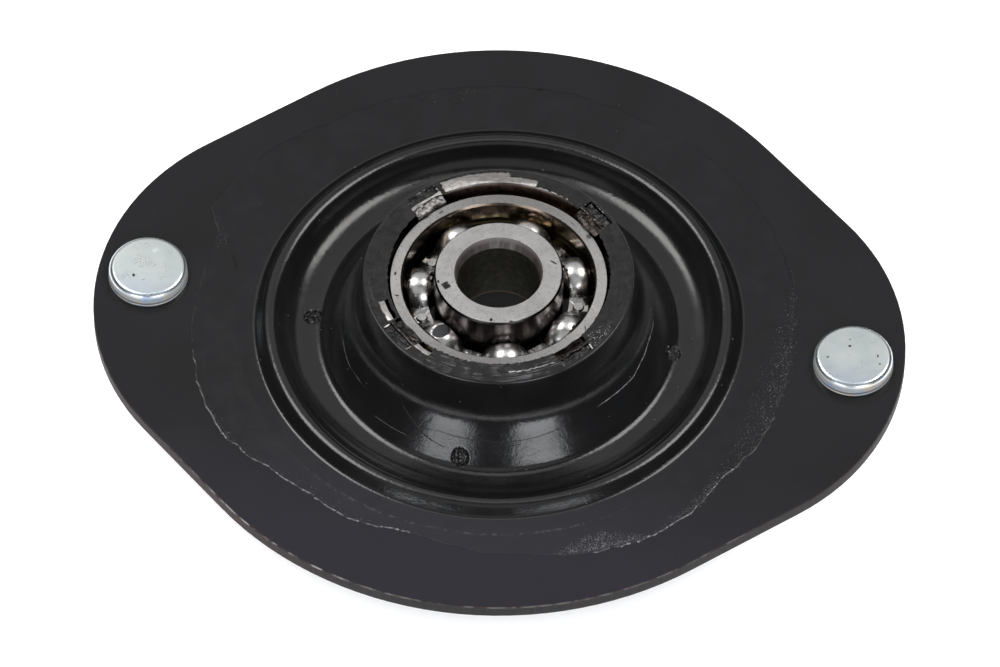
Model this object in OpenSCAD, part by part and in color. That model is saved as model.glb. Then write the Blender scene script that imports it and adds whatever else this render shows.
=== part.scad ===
// Top mount of a suspension strut, in millimetres.
// An oval steel plate with two press-in studs carries a steel cup through a bonded rubber ring.
// The cup holds an open deep-groove ball bearing, kept in by four staked tabs in its rim.
// Z is the bearing's axis, Z = 0 is the face that meets the strut tower, and X runs through both studs.

/* [Mounting plate] */
// Radius of the plate's round middle
plate_r = 51; // [48:0.5:54]
// Radius of the rounded end of each ear
ear_r = 34.7; // [33:0.1:37]
// Plate beyond the centre of each stud, at the tip of the ear
ear_margin = 7.2; // [6.5:0.1:9]
// Thickness of the plate's sheet
plate_t = 2; // [1.5:0.1:3]

/* [Studs] */
// Distance between the two studs
stud_spacing = 104; // [100:0.5:112]
// Diameter of the stud's thread
stud_d = 8; // [6:0.5:9]
// Length of the stud below the plate
stud_len = 15; // [10:0.5:22]
// Diameter of the stud's head
stud_head_d = 11.6; // [11:0.1:13]
// Height of the stud's head
stud_head_h = 1.8; // [1.5:0.1:2.5]
// Rounding of the head's upper edge
stud_head_round = 1.2; // [0.4:0.1:1.4]
// How far the pressed-in neck stands out past the thread
stud_neck_rise = 0.3; // [0.1:0.05:0.6]
// Chamfer at the stud's lower end
stud_chamfer = 0.8; // [0.3:0.1:1.2]

/* [Bearing rings] */
// Diameter of the bearing's bore
bore_d = 12; // [10:0.1:12.6]
// Outer diameter of the bearing
bearing_d = 32; // [31:0.1:34]
// Width of the outer ring
outer_w = 10; // [9:0.1:12]
// Width of the inner ring
inner_w = 12.5; // [10:0.1:14]
// How far the inner ring reaches below the outer ring
inner_drop = 0.8; // [0:0.1:1.5]
// Share of both rings' walls behind the raceways that lies in the inner ring
wall_split = 0.654; // [0.5:0.002:0.7]
// Radial distance from the ball circle to each ring's shoulder
shoulder_gap = 2.3; // [2.1:0.05:2.6]
// Chamfer on the outer ring's outer edges
outer_chamfer = 0.4; // [0.2:0.05:0.8]
// Chamfer on the shoulders' edges and at the bore's lower end
edge_chamfer = 0.25; // [0.1:0.05:0.4]
// Radial size of the lead-in at the bore's upper end
lead_in = 0.4; // [0.2:0.05:0.8]
// Length of the lead-in along the bore
lead_in_len = 2; // [0.5:0.1:3]

/* [Balls and cage] */
// Diameter of each ball
ball_d = 5.95; // [5.5:0.01:6.4]
// Number of balls
ball_count = 7; // [6:1:7]
// Direction of the first ball, in degrees from X
ball_angle = 26.9; // [0:0.1:51.4]
// Clearance between a ball and the raceways
race_clear = 0.06; // [0.03:0.01:0.1]
// Clearance between a ball and its pocket
pocket_clear = 0.1; // [0.05:0.01:0.15]
// Radial width of the cage's ribbon
cage_w = 2.8; // [2.6:0.05:3.6]
// Thickness of the cage's ribbon
cage_t = 0.5; // [0.35:0.05:0.6]
// Diameter of a rivet's shank
rivet_d = 1; // [0.8:0.05:1.2]
// Diameter of a rivet's head
rivet_head_d = 1.7; // [1.4:0.05:2]
// Height of a rivet's head
rivet_head_h = 0.35; // [0.2:0.05:0.5]
// Clearance round a rivet's shank
rivet_clear = 0.02; // [0.01:0.01:0.05]

/* [Bearing cup] */
// Height of the bearing's seat above the tower face
seat_z = 1.9; // [1:0.1:4]
// Thickness of the lip that the bearing sits on
lip_t = 2; // [1.5:0.1:2.6]
// Radial width of the lip under the outer ring
lip_w = 4; // [2:0.1:5]
// Clearance of the bearing in its seat
seat_clear = 0.02; // [0.01:0.01:0.05]
// Length of the close-fitting part of the seat
seat_len = 7; // [5:0.1:8]
// Radial gap between the bearing and the cup's rim
rim_gap = 1.05; // [0.6:0.05:1.4]
// Wall of the cup at its rim
rim_wall = 2.05; // [1.7:0.05:2.6]
// Height of the rim above the outer ring
rim_rise = 1.1; // [0.8:0.05:1.6]
// Thickness of the flange at the cup's foot
flange_t = 2; // [1.5:0.1:2.5]
// How far the flange stops short of the floor ring's outer edge
flange_short = 1.6; // [0.5:0.1:3]

/* [Staked tabs] */
// Number of staked tabs
tab_count = 4; // [3:1:6]
// Direction of the first tab, in degrees from X
tab_angle = 46.9; // [0:0.1:90]
// Width of each tab
tab_w = 5; // [3:0.1:6]
// How far each tab reaches over the outer ring
tab_reach = 0.4; // [0.3:0.05:1.2]
// Thickness of each tab at its tip
tab_tip_t = 0.4; // [0.2:0.05:0.7]
// Depth of each tab's root in the rim's wall
tab_root = 0.45; // [0.35:0.05:0.8]
// Clearance between a tab and the outer ring
tab_clear = 0.02; // [0.01:0.01:0.1]
// Depth of the punched notch behind each tab
notch_depth = 1.5; // [0.8:0.1:2]
// Width of the punched notch's floor
notch_floor = 0.6; // [0.3:0.05:0.8]
// Rim left standing outside each notch
notch_edge = 0.15; // [0.1:0.05:0.3]

/* [Rubber] */
// Rubber on the cup's wall, at the rim
skin_top = 0.4; // [0.2:0.05:1]
// Rubber on the cup's wall, above the flank
skin_foot = 1.4; // [1:0.05:2]
// Radial width of the hub's sloping flank
flank_w = 4.7; // [4:0.1:6]
// Height of the hub's flank above the floor ring
flank_h = 5.5; // [4.5:0.1:7]
// Fillet between the hub's wall and its flank
hub_fillet = 7; // [4:0.1:8]
// Fillet between the hub's flank and the floor ring
flank_fillet = 3; // [1.5:0.1:4]
// Height of the floor ring above the tower face
floor_z = 0.3; // [0:0.1:1]
// Rubber between the floor ring and the cup's flange
floor_skin = 0.9; // [0.5:0.05:1.5]
// Radial width of the floor ring
floor_w = 4.9; // [4:0.1:6]
// Fillet between the floor ring and the ridge
ridge_fillet = 1.5; // [0.5:0.1:2]
// Radial distance from the floor ring's outer edge to the ridge's crown
ridge_slope_w = 3; // [2.6:0.1:4]
// Height of the ridge above the plate
ridge_h = 1.4; // [1:0.1:2]
// Rounding of the ridge's crown
crown_round = 1.5; // [1:0.05:1.6]
// Radial distance from the ridge's crown to its outer foot
ridge_foot_w = 2.15; // [1.9:0.05:3]
// Fillet between the ridge and the plate
foot_fillet = 1; // [0.5:0.05:1.5]
// How far the plate's hole lies inside the crown
hole_cover = 0.5; // [0.2:0.05:0.8]
// Depth of the rubber below the tower face
under_depth = 5; // [4:0.1:8]
// Rounding of the rubber's lower outer edge
under_round = 2.5; // [1:0.1:3.5]
// Radial width of the bevel round the cup's foot
under_bevel = 3; // [1:0.1:5]
// Foot of the cup left bare below its wall
foot_bare = 1.4; // [0.5:0.05:1.8]

/* [Hidden] */
$fn = 96;

// Bearing, from the outside in
bearing_r = bearing_d / 2;
bore_r = bore_d / 2;
ball_r = ball_d / 2;
race_r = ball_r + race_clear;
outer_wall = (1 - wall_split) * (bearing_r - bore_r - 2 * race_r);
pitch_r = bearing_r - outer_wall - race_r;
inner_shoulder_r = pitch_r - shoulder_gap;
outer_shoulder_r = pitch_r + shoulder_gap;
outer_top_z = seat_z + outer_w;
inner_z = seat_z - inner_drop;
inner_top_z = inner_z + inner_w;
ball_z = seat_z + outer_w / 2;
ball_step = 360 / ball_count;
pocket_r = ball_r + pocket_clear;
hump_r = pocket_r + cage_t;

// Cup
cup_bore_r = bearing_r + rim_gap;
cup_r = cup_bore_r + rim_wall;
rim_z = outer_top_z + rim_rise;
flange_z = floor_z - floor_skin - flange_t;
tab_root_r = cup_bore_r + tab_root;

// Rubber, from the hub outwards
hub_foot_r = cup_r + skin_foot;
floor_in_r = hub_foot_r + flank_w;
floor_out_r = floor_in_r + floor_w;
flange_r = floor_out_r - flange_short;
crown_r = floor_out_r + ridge_slope_w;
crown_z = plate_t + ridge_h - crown_round;
ridge_foot_r = crown_r + ridge_foot_w;
plate_hole_r = crown_r - hole_cover;

// Plate
ear_x = stud_spacing / 2 + ear_margin - ear_r;
tangent_angle = acos((plate_r - ear_r) / ear_x);

// Height by which a cutting shape stands clear of the face that it cuts
cut_over = 1;
// How far a fillet's filling reaches into the walls that it joins
fill_over = 0.5;

// Point at a distance from another, in a direction given in degrees
function polar(from, angle, reach) = from + reach * [cos(angle), sin(angle)];

// Direction and length of the line from a point to a circle that it touches, on its left (1) or right (-1)
function tangent_dir(from, centre, r, side) =
    let (to = centre - from)
    atan2(to[1], to[0]) + side * asin(r / norm(to));
function tangent_len(from, centre, r) = sqrt(pow(norm(centre - from), 2) - r * r);

// Puts copies of a shape at even steps round the axis
module around(count, first) {
    for (k = [0 : count - 1])
        rotate(first + k * 360 / count) children();
}

// Straight bar along the radius, with its section drawn as radius and height
module radial_bar(w) {
    rotate([90, 0, 0])
        linear_extrude(w, center = true)
            children();
}

// Outline of the plate: the round middle, both ears and the straight flanks that touch them
module plate_outline() {
    on_middle = polar([0, 0], tangent_angle, plate_r);
    on_ear = polar([ear_x, 0], tangent_angle, ear_r);
    flanks = [
        [on_middle[0], -on_middle[1]],
        [on_ear[0], -on_ear[1]],
        on_ear,
        on_middle
    ];
    circle(r = plate_r);
    for (turn = [0, 180])
        rotate(turn) {
            translate([ear_x, 0])
                circle(r = ear_r);
            polygon(flanks);
        }
}

module mounting_plate() {
    color("#3a3a3d")
        difference() {
            linear_extrude(plate_t)
                plate_outline();
            translate([0, 0, -cut_over])
                cylinder(r = plate_hole_r, h = plate_t + 2 * cut_over);
            for (side = [-1, 1])
                translate([side * stud_spacing / 2, 0, -cut_over])
                    cylinder(r = stud_d / 2 + stud_neck_rise + seat_clear, h = plate_t + 2 * cut_over);
        }
}

// Half section of a stud: rounded head, pressed-in neck and chamfered thread blank
module stud_section() {
    head_r = stud_head_d / 2;
    thread_r = stud_d / 2;
    head_top_z = plate_t + stud_head_h;
    translate([0, plate_t])
        square([head_r, stud_head_h - stud_head_round]);
    translate([0, plate_t])
        square([head_r - stud_head_round, stud_head_h]);
    intersection() {
        translate([head_r - stud_head_round, head_top_z - stud_head_round])
            circle(r = stud_head_round);
        translate([0, plate_t])
            square([head_r, stud_head_h]);
    }
    square([thread_r + stud_neck_rise, plate_t]);
    polygon([
        [0, 0],
        [thread_r, 0],
        [thread_r, stud_chamfer - stud_len],
        [thread_r - stud_chamfer, -stud_len],
        [0, -stud_len]
    ]);
}

module studs() {
    color("#c9d2d0")
        for (side = [-1, 1])
            translate([side * stud_spacing / 2, 0, 0])
                rotate_extrude()
                    stud_section();
}

// Half section of the cup: wall, counterbored rim, seat lip and foot flange
module cup_section() {
    translate([cup_bore_r, flange_z])
        square([rim_wall, rim_z - flange_z]);
    translate([bearing_r + seat_clear, seat_z - lip_t])
        square([cup_r - bearing_r - seat_clear, lip_t + seat_len]);
    translate([bearing_r - lip_w, seat_z - lip_t])
        square([cup_r - bearing_r + lip_w, lip_t]);
    translate([cup_bore_r, flange_z])
        square([flange_r - cup_bore_r, flange_t]);
}

// A tab pushed in from the rim over the outer ring's face
module staked_tab() {
    tip_r = bearing_r - tab_reach;
    under_z = outer_top_z + tab_clear;
    radial_bar(tab_w)
        polygon([
            [tip_r, under_z],
            [tab_root_r, under_z],
            [tab_root_r, rim_z],
            [tip_r, under_z + tab_tip_t]
        ]);
}

// The notch that the punch leaves behind a tab
module punched_notch() {
    floor_edge_r = tab_root_r + notch_floor;
    radial_bar(tab_w)
        polygon([
            [tab_root_r, rim_z + cut_over],
            [tab_root_r, rim_z - notch_depth],
            [floor_edge_r, rim_z - notch_depth],
            [cup_r - notch_edge, rim_z],
            [cup_r - notch_edge, rim_z + cut_over]
        ]);
}

module bearing_housing() {
    color("#8d8a86")
        difference() {
            union() {
                rotate_extrude()
                    cup_section();
                around(tab_count, tab_angle)
                    staked_tab();
            }
            around(tab_count, tab_angle)
                punched_notch();
        }
}

// Fills the inner corner between two lines, given as directions, with a fillet below a free space
module corner_fill(corner, from_dir, to_dir, r) {
    half = (from_dir - to_dir) / 2;
    bisector = to_dir + half;
    reach = r / tan(half);
    difference() {
        polygon([
            polar(corner, from_dir, reach),
            polar(corner, bisector + 180, fill_over),
            polar(corner, to_dir, reach)
        ]);
        translate(polar(corner, bisector, r / sin(half)))
            circle(r = r);
    }
}

// Half section of the ridge: both slopes, its rounded crown and the fillets at its feet
module ridge_section() {
    inner_foot = [floor_out_r, floor_z];
    outer_foot = [ridge_foot_r, plate_t];
    crown = [crown_r, crown_z];
    in_dir = tangent_dir(inner_foot, crown, crown_round, 1);
    out_dir = (tangent_dir(outer_foot, crown, crown_round, -1) + 360) % 360;
    polygon([
        inner_foot,
        [ridge_foot_r, floor_z],
        outer_foot,
        polar(outer_foot, out_dir, tangent_len(outer_foot, crown, crown_round)),
        polar(inner_foot, in_dir, tangent_len(inner_foot, crown, crown_round))
    ]);
    translate(crown)
        circle(r = crown_round);
    corner_fill(inner_foot, 180, in_dir, ridge_fillet);
    corner_fill(outer_foot, out_dir, 0, foot_fillet);
}

// Half section of the rubber's skin on the hub, with its sloping flank and both fillets
module hub_section() {
    flank_top = [hub_foot_r, floor_z + flank_h];
    flank_foot = [floor_in_r, floor_z];
    wall_top = [cup_r + skin_top, rim_z];
    up_wall = wall_top - flank_top;
    down_flank = flank_foot - flank_top;
    wall_dir = atan2(up_wall[1], up_wall[0]);
    flank_dir = atan2(down_flank[1], down_flank[0]);
    polygon([
        [cup_bore_r, floor_z],
        flank_foot,
        flank_top,
        wall_top,
        [cup_bore_r, rim_z]
    ]);
    corner_fill(flank_top, wall_dir, flank_dir, hub_fillet);
    corner_fill(flank_foot, flank_dir + 180, 0, flank_fillet);
}

// Half section of the rubber below the floor ring
module under_section() {
    bare_r = cup_bore_r + foot_bare;
    round_r = plate_hole_r - under_round;
    round_z = under_round - under_depth;
    polygon([
        [bare_r, floor_z],
        [bare_r, flange_z],
        [bare_r + under_bevel, -under_depth],
        [round_r, -under_depth],
        [plate_hole_r, round_z],
        [plate_hole_r, plate_t / 2],
        [floor_out_r, floor_z]
    ]);
    translate([round_r, round_z])
        circle(r = under_round);
}

module rubber_mount() {
    color("#1d1d1f")
        rotate_extrude()
            difference() {
                union() {
                    hub_section();
                    ridge_section();
                    under_section();
                }
                cup_section();
                translate([plate_hole_r, 0])
                    square([ridge_foot_r, plate_t]);
            }
}

module outer_ring() {
    color("#b9b4ac")
        rotate_extrude()
            difference() {
                polygon([
                    [outer_shoulder_r, seat_z + edge_chamfer],
                    [outer_shoulder_r + edge_chamfer, seat_z],
                    [bearing_r - outer_chamfer, seat_z],
                    [bearing_r, seat_z + outer_chamfer],
                    [bearing_r, outer_top_z - outer_chamfer],
                    [bearing_r - outer_chamfer, outer_top_z],
                    [outer_shoulder_r + edge_chamfer, outer_top_z],
                    [outer_shoulder_r, outer_top_z - edge_chamfer]
                ]);
                translate([pitch_r, ball_z])
                    circle(r = race_r);
            }
}

module inner_ring() {
    color("#c4bfb8")
        rotate_extrude()
            difference() {
                polygon([
                    [bore_r, inner_z + edge_chamfer],
                    [bore_r + edge_chamfer, inner_z],
                    [inner_shoulder_r - edge_chamfer, inner_z],
                    [inner_shoulder_r, inner_z + edge_chamfer],
                    [inner_shoulder_r, inner_top_z - edge_chamfer],
                    [inner_shoulder_r - edge_chamfer, inner_top_z],
                    [bore_r + lead_in, inner_top_z],
                    [bore_r, inner_top_z - lead_in_len]
                ]);
                translate([pitch_r, ball_z])
                    circle(r = race_r);
            }
}

// Ball k, counted from 1
module ball(k) {
    color("#d5d3cf")
        rotate(ball_angle + (k - 1) * ball_step)
            translate([pitch_r, 0, ball_z])
                sphere(d = ball_d);
}

// One half of the ribbon cage, above (1) or below (-1) the ball circle's plane
module cage_half(side) {
    band_in_r = pitch_r - cage_w / 2;
    band_out_r = pitch_r + cage_w / 2;
    translate([0, 0, ball_z])
        mirror([0, 0, side > 0 ? 0 : 1])
            difference() {
                intersection() {
                    rotate_extrude()
                        translate([band_in_r, 0])
                            square([cage_w, hump_r]);
                    union() {
                        cylinder(r = band_out_r + cut_over, h = cage_t);
                        around(ball_count, ball_angle)
                            translate([pitch_r, 0, 0])
                                sphere(r = hump_r);
                    }
                }
                around(ball_count, ball_angle)
                    translate([pitch_r, 0, 0])
                        sphere(r = pocket_r);
                around(ball_count, ball_angle + ball_step / 2)
                    translate([pitch_r, 0, -cut_over])
                        cylinder(r = rivet_d / 2 + rivet_clear, h = cage_t + 2 * cut_over);
            }
}

module upper_cage() {
    color("#cbc8c2")
        cage_half(1);
}

module lower_cage() {
    color("#bfbcb6")
        cage_half(-1);
}

// Rivets through both halves of the cage, midway between the balls, headed at both ends
module cage_rivets() {
    head_r = rivet_head_d / 2;
    color("#b0ada6")
        around(ball_count, ball_angle + ball_step / 2)
            translate([pitch_r, 0, ball_z]) {
                cylinder(d = rivet_d, h = 2 * cage_t, center = true);
                for (side = [0, 1])
                    mirror([0, 0, side])
                        translate([0, 0, cage_t])
                            cylinder(r1 = head_r, r2 = head_r - rivet_head_h / 2, h = rivet_head_h);
            }
}

mounting_plate();
studs();
rubber_mount();
bearing_housing();
outer_ring();
inner_ring();
for (k = [1 : ball_count])
    ball(k);
upper_cage();
lower_cage();
cage_rivets();
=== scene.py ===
import math
import random

import bmesh
import bpy
from mathutils import Matrix, Vector, noise


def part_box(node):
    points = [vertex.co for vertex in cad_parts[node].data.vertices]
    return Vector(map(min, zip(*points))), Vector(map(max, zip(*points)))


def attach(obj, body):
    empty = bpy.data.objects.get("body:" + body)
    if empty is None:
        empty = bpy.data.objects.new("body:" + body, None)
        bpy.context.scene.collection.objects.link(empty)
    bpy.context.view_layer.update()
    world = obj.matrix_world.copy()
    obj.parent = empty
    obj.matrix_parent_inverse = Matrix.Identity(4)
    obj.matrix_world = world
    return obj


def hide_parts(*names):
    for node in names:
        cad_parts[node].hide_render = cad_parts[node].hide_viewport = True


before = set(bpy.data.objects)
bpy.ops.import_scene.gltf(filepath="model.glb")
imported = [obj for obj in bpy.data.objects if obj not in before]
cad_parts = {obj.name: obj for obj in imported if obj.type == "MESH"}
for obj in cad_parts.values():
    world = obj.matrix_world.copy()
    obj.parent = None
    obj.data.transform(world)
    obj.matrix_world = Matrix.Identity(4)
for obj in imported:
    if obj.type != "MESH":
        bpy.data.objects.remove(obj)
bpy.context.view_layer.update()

# Lengths below are in millimetres, and MM turns them into the frame's metres
MM = 0.001


def box_mm(node):
    """Lowest and highest corner of a CAD node, in millimetres."""
    return [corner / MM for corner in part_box(node)]


stud_low, stud_high = box_mm("studs")
cup_low, cup_high = box_mm("bearing_housing")
PLATE_TOP = box_mm("mounting_plate")[1].z
RIM_Z = cup_high.z
FLANGE_R = cup_high.x
UNDER_Z = box_mm("rubber_mount")[0].z

# Studs
STUD_HEAD_R = 5.8
STUD_HEAD_WALL_R = 5.7
STUD_HEAD_ROUND = 0.8
STUD_SKIRT_H = 0.32
STUD_NECK_R = 4.3
STUD_X = stud_high.x - STUD_HEAD_R
STUD_TOP_Z = stud_high.z + 0.3
# How far the left and the right head sit off their threads
HEAD_SHIFTS = {-1: Vector((0.28, 0.30, 0)), 1: Vector((-0.22, 0.55, 0))}
THREAD_R = 4.0
THREAD_ROOT_R = 3.4
THREAD_PITCH = 1.25
THREAD_CHAMFER = 0.8
THREAD_TOP_Z = 0.2
THREAD_STEPS = 32

# Cup and rubber
CUP_R = 19.1
FLANGE_TOP_Z = -0.6
BARE_FOOT_R = 18.45
HUB_TOP_R = 19.5
HUB_R = 20.5
HUB_EDGE_ROUND = 0.25
HUB_FILLET = 7.0
FLANK_TOP_Z = 5.8
FLANK_FOOT_R = 25.9
FLANK_FILLET = 2.0
FLOOR_Z = 0.3
FLOOR_OUT_R = 30.1
RIDGE_FILLET = 4.4
# Where the ridge's two slopes would meet above its rounded crown
CROWN_PEAK_R = 32.94
CROWN_PEAK_Z = 4.2
CROWN_ROUND = 1.6
RIDGE_CORNER_R = 35.35
FOOT_FILLET = 0.9
PLATE_HOLE_R = 32.6
UNDER_ROUND = 2.5
UNDER_BEVEL_R = 21.45

# Fineness of rounded corners, and how far apart points are that count as one, in metres
ARC_STEP = math.radians(5)
MERGE = 1e-6
# How often a turned sector is doubled to make the whole turn
DOUBLINGS = 5


def polar(r, degrees, z=0.0):
    """Point at a radius and direction round the bearing's axis, in millimetres."""
    turn = math.radians(degrees)
    return Vector((r * math.cos(turn), r * math.sin(turn), z))


def direction_of(point):
    """Direction of a point round the bearing's axis, in degrees from 0 to 360."""
    return math.degrees(math.atan2(point.y, point.x)) % 360


def rounded_path(corners):
    """Points along a line through corners (r, z, rounding), with an arc at each rounded corner."""
    path = []
    for i, (r, z, rounding) in enumerate(corners):
        here = Vector((r, z))
        if not rounding:
            path.append(here)
            continue
        back = (Vector(corners[i - 1][:2]) - here).normalized()
        ahead = (Vector(corners[(i + 1) % len(corners)][:2]) - here).normalized()
        half = back.angle(ahead) / 2
        centre = here + (back + ahead).normalized() * rounding / math.sin(half)
        start = here + back * rounding / math.tan(half) - centre
        sweep = start.angle_signed(here + ahead * rounding / math.tan(half) - centre)
        steps = max(2, math.ceil(abs(sweep) / ARC_STEP))
        for k in range(steps + 1):
            path.append(centre + Matrix.Rotation(-sweep * k / steps, 2) @ start)
    return path


def everything(bm):
    """All points, edges and faces of a bmesh."""
    return bm.verts[:] + bm.edges[:] + bm.faces[:]


def edges_of(faces, longer_than=0.0):
    """Edges of some faces that are longer than a length in millimetres, each once and in order."""
    edges = dict.fromkeys(e for f in faces for e in f.edges)
    return [e for e in edges if e.calc_length() > longer_than * MM]


def doubled(bm):
    """Copies everything in a bmesh where it is, and gives the copy's points."""
    twin = bmesh.ops.duplicate(bm, geom=everything(bm))
    return [g for g in twin["geom"] if isinstance(g, bmesh.types.BMVert)]


def merged_copy(node, join_flat=False):
    """A copy of a CAD node's mesh with its doubled points merged, and its flat faces joined if asked."""
    bm = bmesh.new()
    bm.from_mesh(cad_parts[node].data)
    bmesh.ops.remove_doubles(bm, verts=bm.verts, dist=MERGE)
    if join_flat:
        bmesh.ops.dissolve_limit(bm, angle_limit=math.radians(1), verts=bm.verts, edges=bm.edges)
    return bm


def thicken(bm, thickness):
    """Gives a sheet that lies flat a thickness in millimetres."""
    if sum(face.normal.z for face in bm.faces) > 0:
        bmesh.ops.reverse_faces(bm, faces=bm.faces)
    bmesh.ops.solidify(bm, geom=bm.faces[:], thickness=thickness * MM)
    bmesh.ops.recalc_face_normals(bm, faces=bm.faces)


def turned(bm, path, steps, closed=False):
    """Turns a half section of (r, z) in millimetres round the Z axis, in steps that divide by 32."""
    verts = [bm.verts.new((r * MM, 0, z * MM)) for r, z in path]
    pairs = list(zip(verts, verts[1:]))
    if closed:
        pairs.append((verts[-1], verts[0]))
    edges = [bm.edges.new(pair) for pair in pairs]
    sectors = 2 ** DOUBLINGS
    bmesh.ops.spin(bm, geom=verts + edges, cent=(0, 0, 0), axis=(0, 0, 1),
                   angle=math.tau / sectors, steps=steps // sectors)
    for halvings in range(DOUBLINGS, 0, -1):
        bmesh.ops.rotate(bm, verts=doubled(bm), cent=(0, 0, 0),
                         matrix=Matrix.Rotation(math.tau / 2 ** halvings, 3, "Z"))
    bmesh.ops.remove_doubles(bm, verts=bm.verts, dist=MERGE)
    bmesh.ops.recalc_face_normals(bm, faces=bm.faces)
    if bm.calc_volume(signed=True) < 0:
        bmesh.ops.reverse_faces(bm, faces=bm.faces)


def add_to(bm, part):
    """Moves the mesh of a part into another one."""
    mesh = bpy.data.meshes.new("part")
    part.to_mesh(mesh)
    part.free()
    bm.from_mesh(mesh)
    bpy.data.meshes.remove(mesh)


def between(table, degrees):
    """Value at a direction, on straight lines through a table of (direction, value)."""
    (a, low), (b, high) = next((p, q) for p, q in zip(table, table[1:]) if p[0] <= degrees <= q[0])
    return low + (high - low) * (degrees - a) / (b - a)


def new_piece(name, bm, finishes, body, replaced=(), sharp=35):
    """Makes a bmesh a piece of the object that rides on a body."""
    mesh = bpy.data.meshes.new(name)
    bm.to_mesh(mesh)
    bm.free()
    for finish in finishes:
        mesh.materials.append(finish)
    mesh.shade_smooth()
    mesh.set_sharp_from_angle(angle=math.radians(sharp))
    piece = bpy.data.objects.new(name, mesh)
    bpy.context.scene.collection.objects.link(piece)
    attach(piece, body)
    if replaced:
        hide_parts(*replaced)


class Finish:
    """A procedural material whose textures are laid out in millimetres of the part's frame."""

    def __init__(self, name, **values):
        self.material = bpy.data.materials.new(name)
        self.material.use_nodes = True
        self.tree = self.material.node_tree
        self.shader = self.tree.nodes["Principled BSDF"]
        for socket, value in values.items():
            self.put(socket.replace("_", " "), value)
        place = self.node("ShaderNodeTexCoord").outputs["Object"]
        scaled = self.node("ShaderNodeVectorMath", operation="SCALE")
        self.tree.links.new(place, scaled.inputs[0])
        scaled.inputs["Scale"].default_value = 1 / MM
        self.place = scaled.outputs[0]
        split = self.node("ShaderNodeSeparateXYZ")
        self.tree.links.new(self.place, split.inputs[0])
        self.x, self.y, self.z = split.outputs
        squares = self.math("ADD", self.times(self.x, self.x), self.times(self.y, self.y))
        self.radius = self.math("SQRT", squares)

    def node(self, kind, **properties):
        made = self.tree.nodes.new(kind)
        for key, value in properties.items():
            setattr(made, key, value)
        return made

    def feed(self, socket, value):
        """Links a socket to another, or gives it a constant."""
        if isinstance(value, bpy.types.NodeSocket):
            self.tree.links.new(value, socket)
        elif socket.type == "RGBA" and len(value) == 3:
            socket.default_value = (*value, 1)
        else:
            socket.default_value = value

    def put(self, socket, value):
        """Sets or links one of the shader's own sockets."""
        self.feed(self.shader.inputs[socket], value)

    def paint(self, colour, roughness):
        self.put("Base Color", colour)
        self.put("Roughness", roughness)

    def math(self, operation, a, b=0.0, clamp=False):
        made = self.node("ShaderNodeMath", operation=operation, use_clamp=clamp)
        self.feed(made.inputs[0], a)
        self.feed(made.inputs[1], b)
        return made.outputs[0]

    def times(self, a, b):
        return self.math("MULTIPLY", a, b)

    def ramp(self, value, low, high, to_low=0.0, to_high=1.0):
        """Smooth step of a value from low to high."""
        made = self.node("ShaderNodeMapRange", interpolation_type="SMOOTHSTEP")
        for socket, number in zip(made.inputs, (value, low, high, to_low, to_high)):
            self.feed(socket, number)
        return made.outputs[0]

    def noise(self, grain, detail=3.0, stretch=(1, 1, 1), shift=(0, 0, 0)):
        """Noise from 0 to 1 with grains of about that size."""
        mapping = self.node("ShaderNodeMapping")
        self.feed(mapping.inputs["Vector"], self.place)
        mapping.inputs["Scale"].default_value = [1 / (grain * s) for s in stretch]
        mapping.inputs["Location"].default_value = shift
        made = self.node("ShaderNodeTexNoise")
        self.feed(made.inputs["Vector"], mapping.outputs[0])
        made.inputs["Scale"].default_value = 1
        made.inputs["Detail"].default_value = detail
        return made.outputs["Fac"]

    def cloud(self, grain, detail, low, high, to_low=0.0, to_high=1.0):
        """Noise of that grain, spread out from low to high."""
        return self.ramp(self.noise(grain, detail), low, high, to_low, to_high)

    def ring_noise(self, across, along, detail=3.0):
        """Noise drawn out round the bearing's axis, with grains of that size across and along the turn."""
        joined = self.node("ShaderNodeCombineXYZ")
        self.feed(joined.inputs[0], self.math("DIVIDE", self.radius, across))
        for index, part in ((1, self.x), (2, self.y)):
            share = self.math("DIVIDE", part, self.radius)
            self.feed(joined.inputs[index], self.times(share, CUP_R / along))
        made = self.node("ShaderNodeTexNoise")
        self.feed(made.inputs["Vector"], joined.outputs[0])
        made.inputs["Scale"].default_value = 1
        made.inputs["Detail"].default_value = detail
        return made.outputs["Fac"]

    def specks(self, spacing, size, share, shift=(0, 0, 0)):
        """1 in round specks of a given size, in that share of cells of a given spacing."""
        mapping = self.node("ShaderNodeMapping")
        self.feed(mapping.inputs["Vector"], self.place)
        mapping.inputs["Scale"].default_value = [1 / spacing] * 3
        mapping.inputs["Location"].default_value = shift
        made = self.node("ShaderNodeTexVoronoi")
        self.feed(made.inputs["Vector"], mapping.outputs[0])
        made.inputs["Scale"].default_value = 1
        near = self.ramp(made.outputs["Distance"], size / spacing, 0.5 * size / spacing)
        pick = self.node("ShaderNodeSeparateColor")
        self.feed(pick.inputs[0], made.outputs["Color"])
        return self.times(near, self.math("LESS_THAN", pick.outputs[0], share))

    def mix(self, factor, a, b):
        """Mix of two colours."""
        made = self.node("ShaderNodeMix", data_type="RGBA")
        for index, value in ((0, factor), (6, a), (7, b)):
            self.feed(made.inputs[index], value)
        return made.outputs[2]

    def blend(self, factor, a, b):
        """Mix of two numbers."""
        made = self.node("ShaderNodeMix", data_type="FLOAT")
        for index, value in ((0, factor), (2, a), (3, b)):
            self.feed(made.inputs[index], value)
        return made.outputs[0]

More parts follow.
